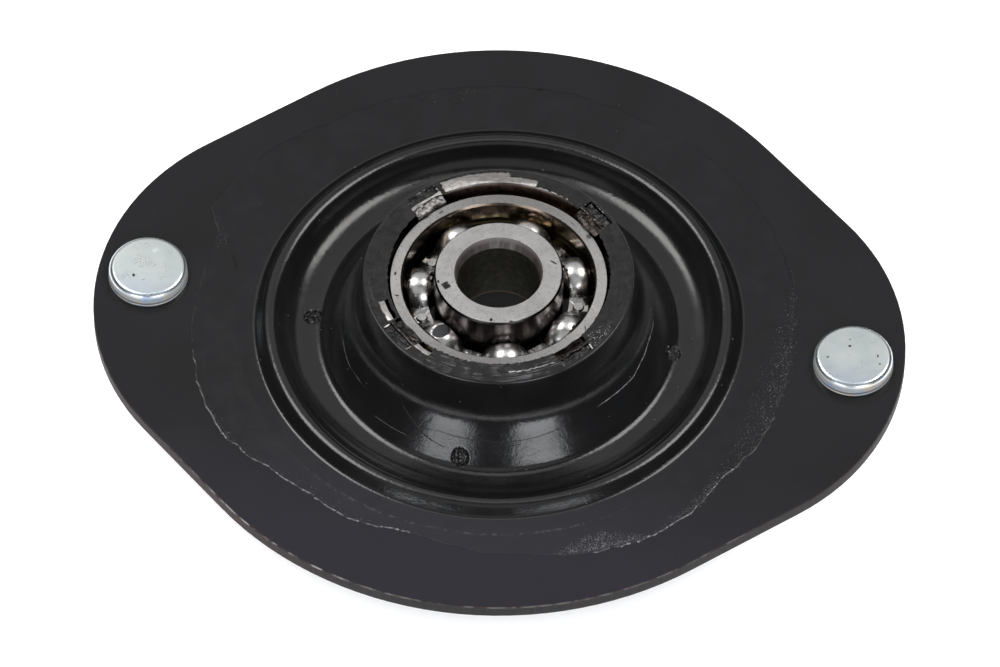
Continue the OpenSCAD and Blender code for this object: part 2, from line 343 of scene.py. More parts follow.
    def spot(self, x, y, half_x, half_y, turn=0.0, soft=0.3, square=False):
        """1 in an oval or a rectangle seen from above, falling to 0 at its edge."""
        c, s = math.cos(math.radians(turn)), math.sin(math.radians(turn))
        dx = self.math("SUBTRACT", self.x, x)
        dy = self.math("SUBTRACT", self.y, y)
        u = self.math("ADD", self.times(dx, c / half_x), self.times(dy, s / half_x))
        v = self.math("ADD", self.times(dx, -s / half_y), self.times(dy, c / half_y))
        far = self.math("MAXIMUM" if square else "ADD", self.times(u, u), self.times(v, v))
        return self.ramp(far, 1 + soft, 1 - soft)

    def bump(self, height, depth):
        """Bump of a given depth in millimetres."""
        made = self.node("ShaderNodeBump")
        made.inputs["Distance"].default_value = depth * MM
        self.feed(made.inputs["Height"], height)
        self.put("Normal", made.outputs[0])


# Finishes

# Dark nick behind the ridge: place, half sizes and turn
NICK = (-0.87, 43.68, 0.55, 0.32, 15)


def plate_coating():
    f = Finish("plate_coating", Specular_IOR_Level=0.25)
    patches = f.cloud(16, 4, 0.3, 0.7)
    colour = f.mix(patches, (0.0056, 0.0055, 0.0062), (0.0072, 0.0071, 0.0082))
    # Painted sheen: the coating is painted lighter and bluer towards the front
    colour = f.mix(f.ramp(f.y, -18, -44), colour, (0.0105, 0.0101, 0.0142))
    dust = f.math("MAXIMUM", f.specks(2.2, 0.13, 0.10), f.specks(0.9, 0.07, 0.06, shift=(5, 2, 0)))
    colour = f.mix(f.times(dust, 0.35), colour, (0.14, 0.13, 0.12))
    # Painted shadow round each stud head on the plate, tinted brown as a faint painted reflection of the
    # head
    for side in (-1, 1):
        grime_and_shade = f.spot(side * (STUD_X - 0.25), -0.3, STUD_HEAD_R + 0.55, STUD_HEAD_R + 0.75, 0, 0.22)
        colour = f.mix(f.times(grime_and_shade, 0.6), colour, (0.0022, 0.0018, 0.0014))
    f.paint(f.mix(f.spot(*NICK), colour, (0.002, 0.002, 0.002)), f.cloud(5, 3, 0.2, 0.8, 0.17, 0.23))
    f.bump(f.noise(0.5, 2), 0.004)
    return f.material


def sheared_edge():
    f = Finish("sheared_edge", Specular_IOR_Level=0.15)
    streaks = f.noise(0.35, 3, stretch=(1, 1, 5))
    rust = f.ramp(f.x, -10, -34)
    bare = f.mix(rust, (0.010, 0.009, 0.009), (0.020, 0.008, 0.008))
    f.paint(f.mix(f.ramp(streaks, 0.35, 0.7), bare, (0.004, 0.0036, 0.0036)), 0.55)
    f.bump(streaks, 0.03)
    return f.material


def worn_highlit_edge():
    f = Finish("worn_highlit_edge", Specular_IOR_Level=0.2)
    # Partly wear and partly painted highlight: light bare patches on the bevel, only along the front and
    # strongest at its left
    front = f.times(f.ramp(f.y, -28, -36), f.ramp(f.x, -6, -16, 0.35, 1.0))
    worn_and_highlit = f.times(f.cloud(2.0, 5, 0.42, 0.60), front)
    rubbed = f.mix(f.cloud(1.2, 4, 0.35, 0.65), (0.010, 0.007, 0.007), (0.022, 0.012, 0.012))
    f.paint(f.mix(worn_and_highlit, rubbed, (0.16, 0.15, 0.145)), 0.42)
    return f.material


# Pits in the studs' plating: place, half sizes and turn
STUD_PITS = ((-53.45, -1.40, 0.20, 0.30, 20), (51.0, 2.36, 0.24, 0.17, 0), (48.14, -0.12, 0.22, 0.12, 35),
             (55.23, 1.21, 0.12, 0.26, 10), (55.71, -0.18, 0.13, 0.16, 0), (50.86, 3.55, 0.10, 0.12, 0),
             (-51.9, -2.0, 0.25, 0.05, 30))


def zinc_plating():
    f = Finish("zinc_plating")
    colour = f.mix(f.cloud(5, 4, 0.15, 0.85), (0.57, 0.63, 0.63), (0.69, 0.73, 0.72))
    colour = f.mix(f.ramp(f.y, 0.5, -5.5, 0.0, 0.75), colour, (0.45, 0.51, 0.60))
    blue = f.ramp(f.noise(2.2, 2, shift=(7, 3, 1)), 0.50, 0.72)
    side = f.ramp(f.z, STUD_TOP_Z - 0.15, STUD_TOP_Z - 0.55)
    yellowed = f.ramp(f.noise(1.3, 3, shift=(2, 9, 4)), 0.45, 0.7)
    satin = f.mix(yellowed, (0.62, 0.64, 0.65), (0.72, 0.65, 0.52))
    colour = f.mix(side, colour, satin)
    colour = f.mix(f.times(blue, f.blend(side, 0.06, 0.7)), colour, (0.36, 0.55, 0.85))
    below_wall = f.ramp(f.z, PLATE_TOP + 0.62, PLATE_TOP + 0.48)
    step = f.times(below_wall, f.ramp(f.z, PLATE_TOP + 0.2, PLATE_TOP + 0.3))
    colour = f.mix(f.times(step, 0.8), colour, (0.05, 0.055, 0.06))
    f.put("Metallic", f.blend(side, 1.0, 0.55))
    for x, y, half_x, half_y, turn in STUD_PITS:
        colour = f.mix(f.spot(x, y - 0.23, half_x, half_y, turn), colour, (0.035, 0.035, 0.033))
    f.put("Base Color", colour)
    smudge = f.spot(-51.1, 3.4, 0.55, 0.3, 10, 0.8)
    rough = f.cloud(1.5, 4, 0.2, 0.8, 0.26, 0.32)
    rough = f.math("ADD", rough, f.times(smudge, 0.3))
    f.put("Roughness", f.blend(side, rough, 0.38))
    return f.material


def moulded_rubber():
    f = Finish("moulded_rubber", Specular_IOR_Level=0.5)
    haze = f.cloud(7, 4, 0.35, 0.75)
    colour = f.mix(haze, (0.0034, 0.0034, 0.0035), (0.0050, 0.0050, 0.0053))
    dust = f.math("MAXIMUM", f.specks(1.7, 0.17, 0.10), f.specks(0.8, 0.11, 0.05, shift=(1, 4, 2)))
    f.paint(f.mix(f.times(dust, 0.5), colour, (0.12, 0.12, 0.12)),
            f.cloud(3, 4, 0.25, 0.75, 0.15, 0.21))
    f.bump(f.math("ADD", f.noise(0.9, 4), f.times(f.noise(0.3, 3), 0.6)), 0.02)
    return f.material


def rubber_film():
    f = Finish("rubber_film", Specular_IOR_Level=0.25)
    haze = f.cloud(5, 5, 0.35, 0.75)
    colour = f.mix(haze, (0.0055, 0.0054, 0.0062), (0.0074, 0.0073, 0.0084))
    # Painted sheen: the film is painted lighter and bluer towards the front, as on the plate
    colour = f.mix(f.ramp(f.y, -18, -40), colour, (0.0120, 0.0116, 0.0156))
    dust = f.math("MAXIMUM", f.specks(1.9, 0.10, 0.10, shift=(3, 1, 0)), f.specks(0.8, 0.06, 0.06))
    colour = f.mix(f.times(dust, 0.35), colour, (0.13, 0.13, 0.13))
    from_land = f.math("ABSOLUTE", f.math("SUBTRACT", f.radius, FILM_LAND_R + 0.2))
    scuffs = f.times(f.ramp(from_land, 0.30, 0.08), f.cloud(0.8, 4, 0.50, 0.60))
    colour = f.mix(f.times(scuffs, f.ramp(f.y, -28, -36, 0.0, 0.26)), colour, (0.075, 0.075, 0.08))
    cut = f.times(f.spot(-39.7, 4.7, 1.5, 0.14, -64), f.cloud(0.6, 3, 0.35, 0.5))
    colour = f.mix(cut, colour, (0.0012, 0.0012, 0.0012))
    f.paint(f.mix(f.spot(*NICK), colour, (0.002, 0.002, 0.002)), f.cloud(2, 4, 0.3, 0.7, 0.19, 0.27))
    f.bump(f.noise(0.9, 4), 0.006)
    return f.material


def torn_flash():
    f = Finish("torn_flash")
    f.paint(f.mix(f.cloud(0.45, 4, 0.34, 0.66), (0.015, 0.015, 0.015), (0.15, 0.15, 0.155)), 0.5)
    return f.material


def rim_rubber():
    f = Finish("rim_rubber", Specular_IOR_Level=0.28)
    drawn = f.ring_noise(0.09, 5.0, 4)
    front = f.ramp(f.y, -8, -16, 0.10, 0.65)
    scraped = f.times(f.ramp(drawn, 0.52, 0.66), f.cloud(1.4, 5, 0.44, 0.62))
    colour = f.mix(f.cloud(1.6, 4, 0.3, 0.7), (0.0034, 0.0034, 0.0036), (0.0082, 0.0081, 0.0088))
    colour = f.mix(f.times(scraped, front), colour, (0.16, 0.16, 0.165))
    middle = polar(17.9, 331)
    flecks = f.times(f.spot(middle.x, middle.y, 1.1, 2.9, 331, 0.6), f.specks(0.26, 0.09, 0.5))
    f.paint(f.mix(flecks, colour, (0.26, 0.26, 0.265)), f.cloud(0.9, 3, 0.3, 0.7, 0.24, 0.40))
    f.bump(f.math("ADD", drawn, f.noise(0.45, 4)), 0.022)
    return f.material


def cup_steel():
    f = Finish("cup_steel", Metallic=1.0)
    scrape = f.ring_noise(0.22, 1.2, 5)
    colour = f.mix(f.ramp(scrape, 0.3, 0.7), (0.33, 0.312, 0.30), (0.54, 0.515, 0.495))
    # Grime on the tops of three tabs
    grime_and_shade = f.mix(f.cloud(0.5, 4, 0.4, 0.65), (0.014, 0.012, 0.011), (0.085, 0.072, 0.067))
    for tab in GRIMY_TABS:
        middle = polar(TAB_TOP_R, tab)
        colour = f.mix(f.spot(middle.x, middle.y, *TAB_TOP_HALF, tab, 0.1, square=True), colour, grime_and_shade)
    back = f.ramp(f.y, 13.5, 15.5)
    inside = f.mix(back, (0.020, 0.019, 0.019), (0.22, 0.16, 0.14))
    f.paint(f.mix(f.ramp(f.z, RIM_Z - 0.3, RIM_Z - 0.7), colour, inside),
            f.cloud(0.8, 4, 0.3, 0.7, 0.26, 0.40))
    f.bump(scrape, 0.02)
    return f.material


def tab_steel():
    f = Finish("tab_steel", Metallic=1.0)
    # Grime mottles the tabs
    grime_and_shade = f.cloud(0.55, 5, 0.35, 0.65)
    colour = f.mix(grime_and_shade, (0.009, 0.008, 0.007), (0.042, 0.035, 0.032))
    bright = f.times(f.ramp(f.x, -6, -9), f.ramp(f.y, 6, 9))
    colour = f.mix(f.times(bright, 0.8), colour, f.mix(grime_and_shade, (0.07, 0.066, 0.063), (0.24, 0.233, 0.227)))
    rubbed = f.times(f.ramp(f.x, -6, -9), f.ramp(f.y, -6, -9))
    colour = f.mix(f.times(rubbed, 0.8), colour, f.mix(grime_and_shade, (0.04, 0.038, 0.036), (0.17, 0.16, 0.155)))
    f.paint(colour, f.cloud(0.5, 3, 0.3, 0.7, 0.24, 0.42))
    f.bump(f.noise(0.35, 4), 0.03)
    return f.material


def scraped_steel():
    f = Finish("scraped_steel", Metallic=1.0)
    streak = f.cloud(0.4, 4, 0.46, 0.68)
    bright = f.times(f.ramp(f.x, -4, -8), f.ramp(f.y, 4, 8))
    colour = f.mix(streak, (0.022, 0.020, 0.019), f.mix(bright, (0.26, 0.25, 0.24), (0.60, 0.58, 0.56)))
    f.paint(colour, f.cloud(0.5, 3, 0.3, 0.7, 0.22, 0.40))
    return f.material


# Faces of the bearing's rings, and the dark marks on them: place, half sizes and turn
OUTER_TOP_Z = 11.9
INNER_TOP_Z = 13.6
LEAD_IN_Z = 11.6
OUTER_MARKS = ((-14.89, -1.24, 0.16, 0.30, 0), (-13.99, -5.15, 0.30, 0.14, 0), (11.6, 9.9, 0.38, 0.45, 30),
               (-6.32, 12.59, 0.10, 0.30, 10), (8.99, 11.8, 0.45, 0.10, -40), (15.08, 4.61, 0.20, 0.35, 10),
               (13.66, -6.66, 0.10, 0.40, 15), (5.2, 14.1, 0.35, 0.22, -20), (-10.2, 10.9, 0.22, 0.40, -40))
INNER_MARKS = ((7.5, 3.1, 0.62, 0.13, -25), (0.31, -8.62, 0.22, 0.28, 0), (3.2, -8.45, 0.30, 0.13, 0),
               (-8.3, -3.0, 0.16, 0.28, 20))
INNER_SMUDGE = (-7.07, -3.5, 0.52, 0.60, 40)


def ring_steel(name, top_z, marks, smudge=None):
    """Ground steel: the finish, the top's colour, a mask of the walls below and the top's roughness."""
    f = Finish(name, Metallic=1.0)
    cloud = f.cloud(3.5, 4, 0.25, 0.75)
    ground = f.mix(cloud, (0.425, 0.415, 0.405), (0.515, 0.505, 0.496))
    hatch = f.math("MAXIMUM", f.ramp(f.noise(0.07, 2, stretch=(45, 1, 1)), 0.56, 0.76),
                   f.ramp(f.noise(0.07, 2, stretch=(1, 45, 1)), 0.56, 0.76))
    ground = f.mix(f.times(hatch, 0.16), ground, (0.30, 0.29, 0.285))
    upper_right = f.ramp(f.math("ADD", f.x, f.y), 0, 18)
    pits = f.math("MAXIMUM", f.specks(1.3, 0.14, 0.018),
                  f.times(f.specks(1.0, 0.22, 0.12, shift=(3, 8, 0)), upper_right))
    ground = f.mix(pits, ground, (0.03, 0.028, 0.026))
    for x, y, half_x, half_y, turn in marks:
        torn = f.times(f.spot(x, y, half_x, half_y, turn), f.cloud(0.3, 3, 0.15, 0.35))
        ground = f.mix(torn, ground, (0.022, 0.021, 0.024))
    if smudge:
        torn = f.times(f.spot(*smudge, soft=0.15, square=True), f.cloud(0.28, 3, 0.30, 0.42))
        ground = f.mix(torn, ground, (0.035, 0.033, 0.034))
    wall = f.ramp(f.z, top_z - 0.008, top_z - 0.03)
    rough = f.cloud(0.7, 4, 0.3, 0.7, 0.26, 0.33)
    f.bump(f.times(f.noise(0.3, 2), f.math("SUBTRACT", 1.0, wall)), 0.0012)
    return f, ground, wall, rough


def outer_ring_steel():
    f, ground, wall, rough = ring_steel("outer_ring_steel", OUTER_TOP_Z, OUTER_MARKS)
    # Painted sheen of the grinding: the top is painted darker at the front and back, leaving the sides
    # lighter
    sideways = f.math("DIVIDE", f.y, f.radius)
    ground = f.mix(f.math("MULTIPLY", sideways, sideways, True), ground, (0.27, 0.262, 0.256))
    amber = f.mix(f.ring_noise(0.3, 2.5), (0.15, 0.11, 0.085), (0.30, 0.235, 0.18))
    back = f.ramp(f.y, 8.5, 12.5)
    groove = f.mix(back, (0.055, 0.046, 0.038), (0.46, 0.37, 0.23))
    amber = f.mix(f.ramp(f.z, 10.0, 9.2), amber, groove)
    f.paint(f.mix(wall, ground, amber), f.blend(wall, rough, 0.2))
    return f.material


def inner_ring_steel():
    f, ground, wall, rough = ring_steel("inner_ring_steel", INNER_TOP_Z, INNER_MARKS, INNER_SMUDGE)
    streaks = f.ramp(f.noise(0.7, 3, stretch=(1, 1, 30)), 0.3, 0.75)
    outside = f.mix(streaks, (0.20, 0.168, 0.16), (0.40, 0.355, 0.345))
    outside = f.mix(f.ramp(f.z, 10.2, 9.0), outside, (0.10, 0.092, 0.088))
    # Painted shade: the top of the outer wall and its chamfer are painted dark, which dulls the chamfer's
    # highlight
    outside = f.mix(f.ramp(f.z, INNER_TOP_Z - 0.45, INNER_TOP_Z - 0.3), outside, (0.03, 0.028, 0.027))
    bore = f.mix(f.cloud(1.0, 4, 0.35, 0.7), (0.15, 0.146, 0.118), (0.23, 0.223, 0.185))
    bore = f.mix(f.ramp(f.z, 1.9, 1.4), bore, (0.55, 0.44, 0.28))
    lead_in = f.mix(streaks, (0.40, 0.34, 0.33), (0.60, 0.525, 0.51))
    # Painted highlights: the lead-in is painted lighter towards its top, and brightest in a spot at its
    # back
    lead_in = f.mix(f.ramp(f.z, INNER_TOP_Z - 1.1, INNER_TOP_Z - 0.2), lead_in, (0.90, 0.82, 0.80))
    lead_in = f.mix(f.times(f.spot(-0.4, 6.6, 2.4, 1.6, 0, 0.7), streaks), lead_in, (1.0, 0.94, 0.92))
    top_of_bore = f.ramp(f.z, LEAD_IN_Z - 0.1, LEAD_IN_Z + 0.1)
    bore = f.mix(top_of_bore, bore, lead_in)
    outer_wall = f.ramp(f.radius, 7.4, 7.6)
    f.put("Base Color", f.mix(wall, ground, f.mix(outer_wall, bore, outside)))
    bore_rough = f.blend(top_of_bore, 0.40, 0.46)
    f.put("Roughness", f.blend(wall, rough, f.blend(outer_wall, bore_rough, 0.27)))
    return f.material


def ball_steel():
    f = Finish("ball_steel", Metallic=1.0)
    f.paint(f.mix(f.cloud(1.5, 3, 0.3, 0.7), (0.62, 0.61, 0.60), (0.72, 0.71, 0.69)),
            f.cloud(0.8, 3, 0.3, 0.7, 0.06, 0.14))
    return f.material


def cage_steel():
    f = Finish("cage_steel", Metallic=1.0)
    colour = f.mix(f.cloud(1.8, 3, 0.25, 0.75), (0.46, 0.455, 0.45), (0.58, 0.575, 0.57))
    web = f.ramp(f.z, 8.3, 7.7)
    grit = f.math("MAXIMUM", f.cloud(0.22, 2, 0.52, 0.62), f.specks(0.6, 0.16, 0.25))
    colour = f.mix(f.times(f.times(grit, web), 0.4), colour, (0.08, 0.076, 0.072))
    f.paint(f.mix(f.specks(1.1, 0.10, 0.08), colour, (0.06, 0.055, 0.05)),
            f.cloud(0.9, 3, 0.3, 0.7, 0.25, 0.32))
    f.bump(f.times(f.noise(0.4, 3), web), 0.005)
    return f.material


def dulled_steel():
    f = Finish("dulled_steel", Metallic=1.0)
    f.paint(f.mix(f.noise(0.5, 3), (0.055, 0.060, 0.064), (0.095, 0.100, 0.105)), 0.3)
    return f.material


# Pieces

PLATE_EDGE_BEVEL = 0.16


def on_outline(edge):
    """True for a sharp edge of the plate's outline, away from its hole and its stud holes."""
    if len(edge.link_faces) != 2 or edge.calc_face_angle() < 1:
        return False
    place = edge.verts[0].co.xy / MM
    from_stud = place - Vector((math.copysign(STUD_X, place.x), 0))
    return place.length > PLATE_HOLE_R + 1 and from_stud.length > STUD_NECK_R + 0.7


def mounting_plate(coating, edge, worn_and_highlit):
    """The plate with its sheared edge broken by a small bevel."""
    bm = merged_copy("mounting_plate", join_flat=True)
    for face in bm.faces:
        face.material_index = 0 if abs(face.normal.z) > 0.5 else 1
    outline = [e for e in bm.edges if on_outline(e)]
    made = bmesh.ops.bevel(bm, geom=outline, offset=PLATE_EDGE_BEVEL * MM, offset_type="OFFSET", segments=3,
                           profile=0.5, affect="EDGES", material=-1, loop_slide=False)
    for face in made["faces"]:
        face.material_index = 2
    new_piece("stud_plate", bm, [coating, edge, worn_and_highlit], "mount", ["mounting_plate"],
              sharp=10)


def stud_thread():
    """A rolled thread up to just inside the plate, chamfered at its end."""
    thread = bmesh.new()
    # One turn of the thread: radius and height
    section = [(THREAD_ROOT_R, 0), (THREAD_ROOT_R, 0.16), (THREAD_R, 0.53), (THREAD_R, 0.69),
               (THREAD_ROOT_R, 1.06), (THREAD_ROOT_R, THREAD_PITCH)]
    low = stud_low.z - 2 * THREAD_PITCH
    verts = [thread.verts.new((r * MM, 0, (z + low) * MM)) for r, z in section]
    edges = [thread.edges.new(pair) for pair in zip(verts, verts[1:])]
    turns = math.ceil((0.3 - low) / THREAD_PITCH) + 1
    bmesh.ops.spin(thread, geom=verts + edges, cent=(0, 0, 0), axis=(0, 0, 1), angle=math.tau * turns,
                   steps=THREAD_STEPS * turns, dvec=(0, 0, THREAD_PITCH / THREAD_STEPS * MM))
    bmesh.ops.remove_doubles(thread, verts=thread.verts, dist=MERGE)
    for z, side in ((stud_low.z, -1), (THREAD_TOP_Z, 1)):
        cut = bmesh.ops.bisect_plane(thread, geom=everything(thread), plane_co=(0, 0, z * MM),
                                     plane_no=(0, 0, side), clear_outer=True)
        rim = [g for g in cut["geom_cut"] if isinstance(g, bmesh.types.BMEdge)]
        bmesh.ops.holes_fill(thread, edges=rim, sides=0)
    for vert in thread.verts:
        limit = (THREAD_R - max(0.0, stud_low.z + THREAD_CHAMFER - vert.co.z / MM)) * MM
        reach = vert.co.xy.length
        if reach > limit:
            vert.co.xy *= limit / reach
    bmesh.ops.recalc_face_normals(thread, faces=thread.faces)
    return thread


def stud_pair(finish):
    """Two studs with flat heads on a thin skirt, a plain neck and a rolled thread."""
    bm = bmesh.new()
    skirt_z = PLATE_TOP + STUD_SKIRT_H
    head = rounded_path([
        (0, STUD_TOP_Z, 0), (STUD_HEAD_WALL_R, STUD_TOP_Z, STUD_HEAD_ROUND), (STUD_HEAD_WALL_R, skirt_z, 0),
        (STUD_HEAD_R, skirt_z, 0.12), (STUD_HEAD_R, PLATE_TOP, 0.05), (STUD_NECK_R, PLATE_TOP, 0),
        (STUD_NECK_R, 0, 0), (0, 0, 0)])
    turned(bm, head, steps=96)
    add_to(bm, stud_thread())
    bmesh.ops.translate(bm, verts=bm.verts, vec=(STUD_X * MM, 0, 0))
    bmesh.ops.translate(bm, verts=doubled(bm), vec=(-2 * STUD_X * MM, 0, 0))
    for vert in bm.verts:
        if vert.co.z > (PLATE_TOP - 0.1) * MM:
            vert.co += HEAD_SHIFTS[1 if vert.co.x > 0 else -1] * MM
    new_piece("threaded_studs", bm, [finish], "mount", ["studs"])


# Gate marks in the rubber: direction and radius of the centre
GATE_MARKS = ((184.6, 27.05), (266.3, 24.75), (358.8, 25.5), (92.0, 25.6))
GATE_R = 1.3
GATE_DEPTH = 0.30
LONGEST_STEP = 0.9


def rubber_section():
    """Half section of the bonded rubber, from the hub's top edge round to the cup's foot flange."""
    path = rounded_path([
        (CUP_R, RIM_Z, 0), (HUB_TOP_R, RIM_Z, HUB_EDGE_ROUND), (HUB_R, FLANK_TOP_Z, HUB_FILLET),
        (FLANK_FOOT_R, FLOOR_Z, FLANK_FILLET), (FLOOR_OUT_R, FLOOR_Z, RIDGE_FILLET),
        (CROWN_PEAK_R, CROWN_PEAK_Z, CROWN_ROUND), (RIDGE_CORNER_R, PLATE_TOP, FOOT_FILLET),
        (RIDGE_CORNER_R + 0.6, PLATE_TOP, 0), (PLATE_HOLE_R, PLATE_TOP, 0),
        (PLATE_HOLE_R, UNDER_Z, UNDER_ROUND), (UNDER_BEVEL_R, UNDER_Z, 0),
        (BARE_FOOT_R, cup_low.z, 0), (FLANGE_R, cup_low.z, 0), (FLANGE_R, FLANGE_TOP_Z, 0),
        (CUP_R, FLANGE_TOP_Z, 0)])
    section = [path[0]]
    for point in path[1:]:
        last = section[-1]
        steps = math.ceil((point - last).length / LONGEST_STEP)
        section += [last.lerp(point, (k + 1) / steps) for k in range(steps)]
    return section


RUBBER_SECTION = rubber_section()


def rubber_z(r):
    """Height of the rubber's top at a radius."""
    pairs = zip(RUBBER_SECTION, RUBBER_SECTION[1:])
    a, b = next((p, q) for p, q in pairs if p.x <= r <= q.x and q.x > p.x)
    return a.y + (b.y - a.y) * (r - a.x) / (b.x - a.x)


def rubber_moulding(finish):
    """The bonded rubber: hub skin, flank, floor ring and ridge, with torn gate marks."""
    bm = bmesh.new()
    turned(bm, RUBBER_SECTION, closed=True, steps=480)
    for degrees, r in GATE_MARKS:
        centre = polar(r, degrees, rubber_z(r)) * MM
        near = [f for f in bm.faces if f.normal.z > 0.3
                and (f.calc_center_median() - centre).length < 1.5 * GATE_R * MM]
        bmesh.ops.subdivide_edges(bm, edges=edges_of(near), cuts=3, use_grid_fill=True)
        bm.normal_update()
        sunk = []
        for vert in bm.verts:
            away = (vert.co - centre).length / MM
            if away < 1.3 * GATE_R and vert.normal.z > 0.3:
                wall = min(1.0, max(0.0, (1.06 * GATE_R - away) / (0.12 * GATE_R)))
                torn = noise.noise(vert.co / MM * 2.6) + 0.6 * noise.noise(vert.co / MM * 5.5)
                sunk.append((vert, vert.normal * wall * (GATE_DEPTH - 0.30 * torn) * MM))
        for vert, depth in sunk:
            vert.co -= depth
    new_piece("rubber_moulding", bm, [finish], "mount", ["rubber_mount"])


# Mould lines on the rubber, and lighter scratches: points of direction and radius, width and height
RUBBER_LINES = (
    (((249, 23.0), (258, 22.7), (268, 22.75), (279, 22.9), (290, 22.75), (302, 22.4)), 0.09, 0.030),
    (((276, 23.2), (281, 23.3), (287, 23.15)), 0.08, 0.025),
    (((160, 22.4), (172, 22.9), (185, 23.1), (200, 22.9), (212, 23.3), (225, 23.0)), 0.09, 0.030),
    (((238.2, 21.6), (244, 22.4), (250.5, 23.4), (256, 23.9), (260.6, 24.1)), 0.10, 0.035),
    (((232, 24.6), (238, 24.5), (246, 24.4), (254, 24.7)), 0.12, 0.035))

RUBBER_SCRATCHES = (
    (((318.8, 22.15), (326.4, 22.19), (338.6, 22.47), (345.3, 22.29), (357.6, 22.32), (366.2, 22.36)),
     0.09, 0.03),)


LINE_T = 0.02


def rubber_lines(name, lines, finish):
    """Fine raised lines that follow the rubber's flank."""
    bm = bmesh.new()
    for points, width, height in lines:
        strip = bmesh.new()
        bmesh.ops.create_grid(strip, x_segments=90, y_segments=2, size=0.5)
        low, high = points[0][0], points[-1][0]
        for vert in strip.verts:
            across = vert.co.y * 2
            degrees = low + (high - low) * min(1.0, max(0.0, vert.co.x + 0.5))
            taper = min(1.0, 8 * (0.52 - abs(vert.co.x)))
            r = between(points, degrees) + across * width / 2 * taper
            r += 0.10 * noise.noise(polar(6, degrees))
            z = rubber_z(r) + height * taper * (1 - abs(across)) - 0.012 * abs(across)
            vert.co = polar(r, degrees, z) * MM
        bmesh.ops.recalc_face_normals(strip, faces=strip.faces)
        thicken(strip, LINE_T)
        add_to(bm, strip)
    new_piece(name, bm, [finish], "mount", sharp=60)


# Edge of the rubber film that ran out over the plate: direction and radius
FILM_EDGE = ((3, 42.9), (14, 43.2), (40, 43.5), (70, 43.2), (91, 43.9), (110, 44.2), (130, 44.6),
             (150, 46.5), (162, 47.2), (168, 44.2), (176, 44.0), (193, 44.6), (206, 44.9), (216, 44.7),
             (222, 43.6), (229, 42.0), (238, 41.2), (247, 41.3), (261, 40.0), (280, 41.5), (299, 43.6),
             (308, 44.3), (317, 44.0), (329, 42.8), (338, 43.4), (352, 43.0))
# Stretches where the film's edge is torn and stands up, and where it is cracked: directions
TORN_STRETCHES = ((216, 262), (297, 331))
TORN_HEIGHT = 0.15
CRACKED_STRETCHES = ((150, 156), (161, 167), (176, 181), (186, 190), (196, 216), (60, 66))
FILM_T = 0.05
FILM_LAND_R = 38.0
FILM_LAND_T = 0.07
FILM_FOOT_R = 35.48
FILM_FILLET = 1.0
FILM_IN_R = FILM_FOOT_R - 0.39
FILM_IN_T = 0.27
FILM_STEPS = 1088
GRAIN_SEED = 7


def film_edge_r(degrees):
    """Radius of the film's edge in a direction, with the small jags of a tear."""
    first = FILM_EDGE[0]
    here = degrees if degrees >= first[0] else degrees + 360
    stretches = zip(FILM_EDGE, FILM_EDGE[1:] + ((first[0] + 360, first[1]),))
    (a, from_r), (b, to_r) = next((p, q) for p, q in stretches if p[0] <= here <= q[0])
    share = (here - a) / (b - a)
    jag = 0.30 * noise.noise(polar(14, degrees)) + 0.22 * noise.noise(polar(38, degrees))
    return from_r + (to_r - from_r) * share * share * (3 - 2 * share) + jag


def lies_in(stretches, degrees):
    """True where a direction lies in one of the stretches."""
    return any(low <= degrees <= high for low, high in stretches)


def torn_height(degrees):
    """Height of the film's torn edge in a direction."""
    if not lies_in(TORN_STRETCHES, degrees):
        return 0.0
    return TORN_HEIGHT * max(0.0, 0.4 + 1.1 * noise.noise(polar(30, degrees, 5)))


def flash_film(film, torn, rubber):
    """Thin rubber film round the ridge, thicker on the mould's land, with a torn edge."""
    bm = bmesh.new()
    # Distance in from the edge and height over the plate, near the edge
    edge_section = ((0.0, -0.01), (0.0, 0.0), (0.05, 0.02), (0.12, FILM_T), (0.22, FILM_T), (0.4, FILM_T))
    outside = FILM_LAND_R + 10
    section = [(FILM_IN_R, PLATE_TOP - 0.01)]
    section += [(outside - inset, PLATE_TOP + h) for inset, h in edge_section]
    section += [(FILM_LAND_R + 0.25, PLATE_TOP + FILM_T), (FILM_LAND_R, PLATE_TOP + FILM_LAND_T)]
    section += rounded_path([(FILM_LAND_R - 0.2, PLATE_TOP + FILM_LAND_T, 0),
                             (FILM_FOOT_R, PLATE_TOP + FILM_LAND_T, FILM_FILLET),
                             (FILM_IN_R, PLATE_TOP + FILM_IN_T, 0)])
    turned(bm, section, closed=True, steps=FILM_STEPS)
    for face in bm.faces:
        if face.calc_center_median().xy.length < (FILM_FOOT_R + 0.5) * MM:
            face.material_index = 2
    lip_faces = []
    for vert in bm.verts:
        inset = outside - vert.co.xy.length / MM
        if inset < 1:
            degrees = direction_of(vert.co)
            vert.co.xy *= (film_edge_r(degrees) - inset) / (outside - inset)
            if 0.04 < inset < 0.2:
                vert.co.z += torn_height(degrees) * MM
                if lies_in(CRACKED_STRETCHES, degrees):
                    vert.co.z -= 0.6 * FILM_T * MM
                lip_faces += vert.link_faces
    for face in lip_faces:
        degrees = direction_of(face.calc_center_median())
        if torn_height(degrees) > 0.02:
            face.material_index = 1
        elif lies_in(CRACKED_STRETCHES, degrees):
            face.material_index = 2
    new_piece("flash_film", bm, [film, torn, rubber], "mount", sharp=40)


# Sandy crumbs on the film: directions, how far they lie in from its edge, and how many batches
CRUMB_FIELDS = ((289, 309, 0.05, 3.6, 30), (318, 382, -0.5, 4.6, 20), (306, 334, 0.1, 1.6, 6),
                (96, 120, 0.5, 3.0, 1), (163, 172, 0.2, 2.4, 1), (208, 222, -0.2, 1.4, 2),
                (215, 262, 0.0, 2.0, 2))
CRUMB_BATCH = 50


